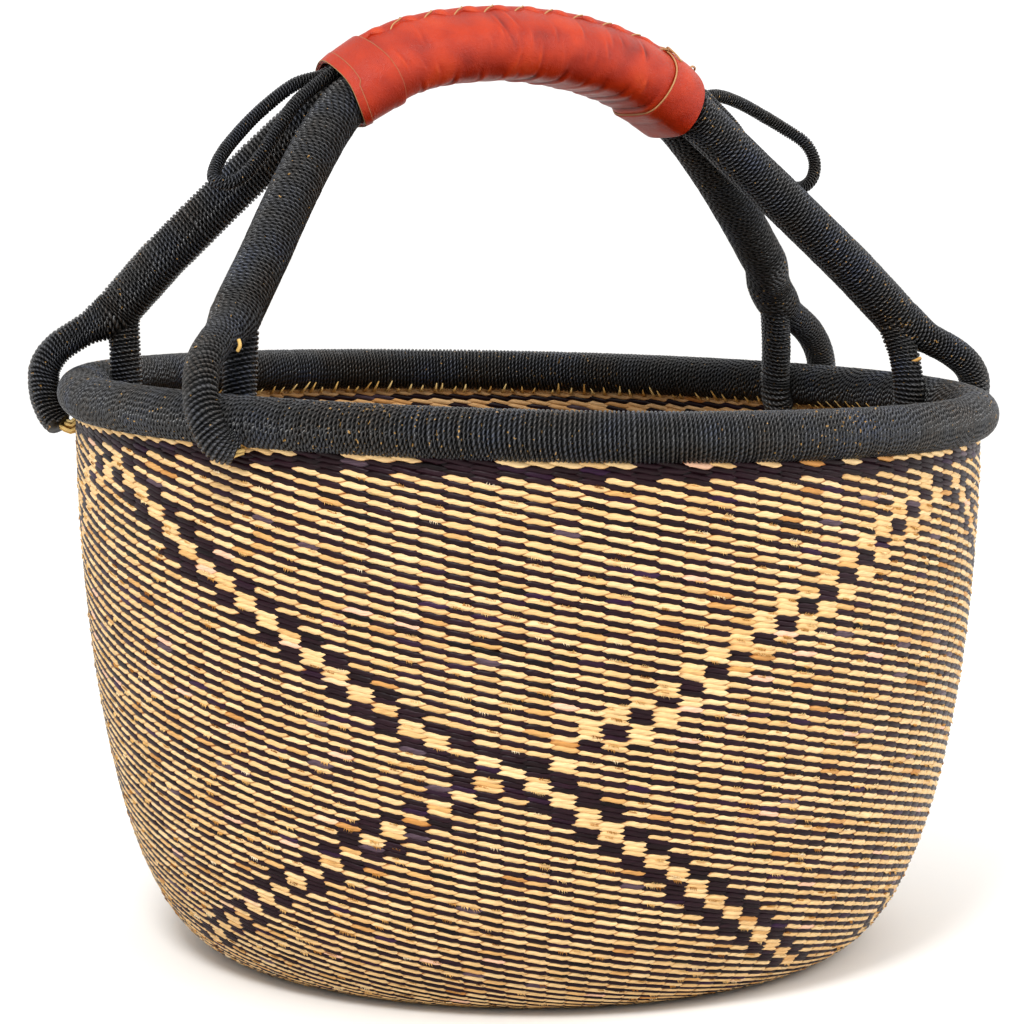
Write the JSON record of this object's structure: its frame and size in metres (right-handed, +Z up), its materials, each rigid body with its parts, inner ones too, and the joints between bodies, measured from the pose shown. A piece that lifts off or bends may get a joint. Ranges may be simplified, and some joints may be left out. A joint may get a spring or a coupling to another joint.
{
  "type": "market basket",
  "caption": "Round woven grass market basket with a wound rim, forked arched legs, a leather-covered carrying grip and flexing cord finger loops.",
  "frame": {"origin": "middle of the base's underside, where the basket stands, on the woven body's axis", "axes": "+Z up, +X along the handle towards its right end, -Y the front"},
  "size_m": [0.4166, 0.406, 0.4062],
  "materials": {
    "woven_straw": "twined natural and dark dyed straw, dry satin",
    "grass_bundle": "bundled dry grass, matte",
    "dark_cord": "two-ply twisted dyed grass cord, matte with a faint sheen",
    "sleeve_leather": "thin dyed leather, wet-moulded, satin",
    "cuff_leather": "thin dyed leather, satin",
    "lace_thread": "waxed natural thread"
  },
  "bodies": {
    "root": {"woven_wall": "woven_straw", "woven_base": "woven_straw", "rim_hoop": "grass_bundle", "rim_winding": "dark_cord", "front_arch_bundle": "grass_bundle", "back_arch_bundle": "grass_bundle", "front_left_leg_winding": "dark_cord", "front_right_leg_winding": "dark_cord", "back_left_leg_winding": "dark_cord", "back_right_leg_winding": "dark_cord", "grip_binding": "dark_cord", "leather_sleeve": "sleeve_leather", "left_leather_cuff": "cuff_leather", "right_leather_cuff": "cuff_leather", "front_loop_strand": "dark_cord", "back_loop_strand": "dark_cord", "seam_lace": "lace_thread"},
    "left_loop": {"left_finger_loop": "dark_cord"},
    "right_loop": {"right_finger_loop": "dark_cord"}
  },
  "joints": [
    {"name": "left_loop_lift", "type": "hinge", "parent": "root", "child": "left_loop", "pos_m": [-0.09538, 0, 0.3725], "axis": [0, 1, 0], "range_deg": [0, 50]},
    {"name": "right_loop_lift", "type": "hinge", "parent": "root", "child": "right_loop", "pos_m": [0.08709, 0, 0.36565], "axis": [0, -1, 0], "range_deg": [0, 50]}
  ]
}
